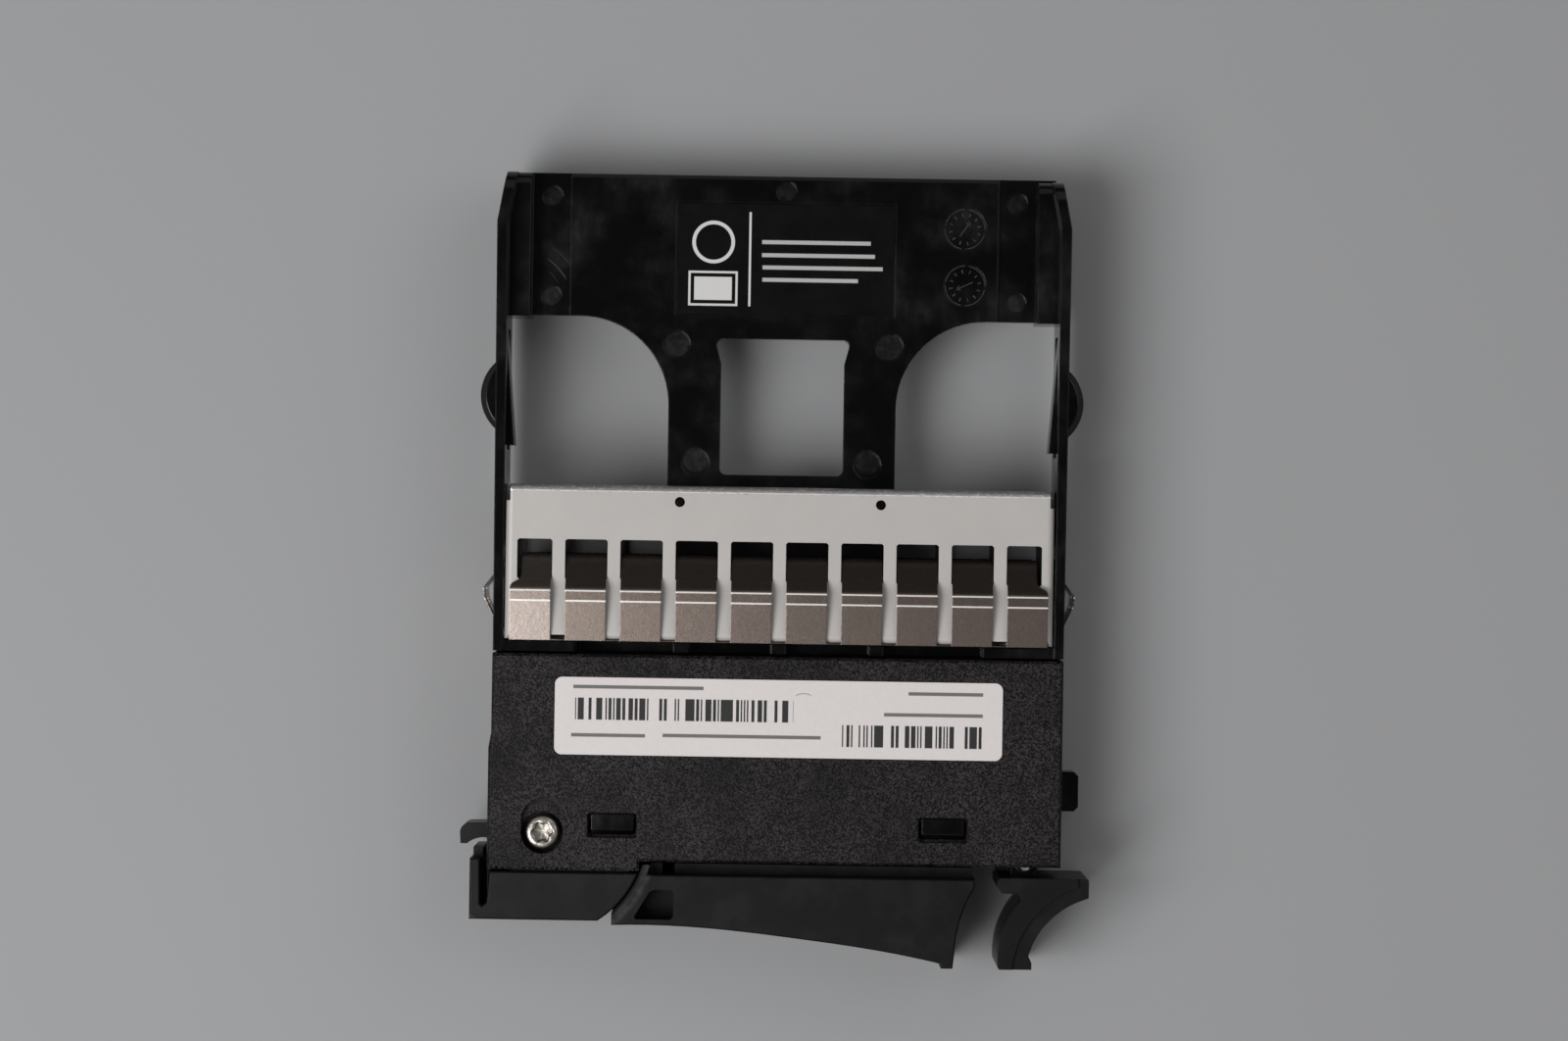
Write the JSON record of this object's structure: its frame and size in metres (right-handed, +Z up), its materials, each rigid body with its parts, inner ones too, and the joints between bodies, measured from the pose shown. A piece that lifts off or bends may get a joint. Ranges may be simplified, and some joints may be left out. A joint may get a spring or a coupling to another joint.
{
  "type": "drive bay blank filler",
  "caption": "Blank hot-plug drive carrier with a swing-out ejector handle, a squeeze latch, side rails and a sprung metal shielding box; it fills an empty 2.5-inch bay.",
  "frame": {"origin": "under the middle of the whole part, at the height of its lowest contact fingers", "axes": "+Y is the direction of insertion, from the handle to the rear plate; +X runs from the pivot end to the latch end; +Z is up across the bay pitch, as the carrier lies on its side"},
  "size_m": [0.0864, 0.1084, 0.0184],
  "materials": {
    "carrier_plastic": "smooth glossy black moulding",
    "cover_plastic": "fine spark-eroded texture, black",
    "trim_plastic": "satin black moulding",
    "handle_plastic": "satin black moulding",
    "latch_plastic": "satin black moulding",
    "screw_steel": "bright zinc plate",
    "sleeve_steel": "turned",
    "insert_brass": "six-sided and plain",
    "spring_wire": "drawn wire",
    "pin_steel": "ground",
    "tinned_sheet": "dull tin plate with worn patches",
    "contact_sheet": "bright spring sheet",
    "white_label": "printed film",
    "black_label": "printed film"
  },
  "bodies": {
    "carrier": {"carrier_frame": "carrier_plastic", "front_cover": "cover_plastic", "bezel_end_cap": "trim_plastic", "pivot_screw": "screw_steel", "pivot_sleeve": "sleeve_steel", "threaded_insert": "insert_brass", "handle_spring": "spring_wire", "latch_pin": "pin_steel", "latch_spring": "spring_wire", "shield_top": "tinned_sheet", "shield_bottom": "tinned_sheet", "finger_strip_top": "contact_sheet", "finger_strip_bottom": "contact_sheet", "finger_strip_left": "contact_sheet", "finger_strip_right": "contact_sheet", "front_label": "white_label", "rear_label": "black_label"},
    "handle": {"handle_lever": "handle_plastic"},
    "latch": {"latch_hook": "latch_plastic"}
  },
  "joints": [
    {"name": "handle_hinge", "type": "hinge", "parent": "carrier", "child": "handle", "pos_m": [-0.0317, -0.03644, 0.00919], "axis": [0, 0, -1], "range_deg": [0, 60]},
    {"name": "latch_hinge", "type": "hinge", "parent": "carrier", "child": "latch", "pos_m": [0.0345, -0.04, 0.00919], "axis": [0, 0, -1], "range_deg": [0, 10], "stiffness_Nm_per_rad": 0.1, "springref_deg": -11.46}
  ]
}
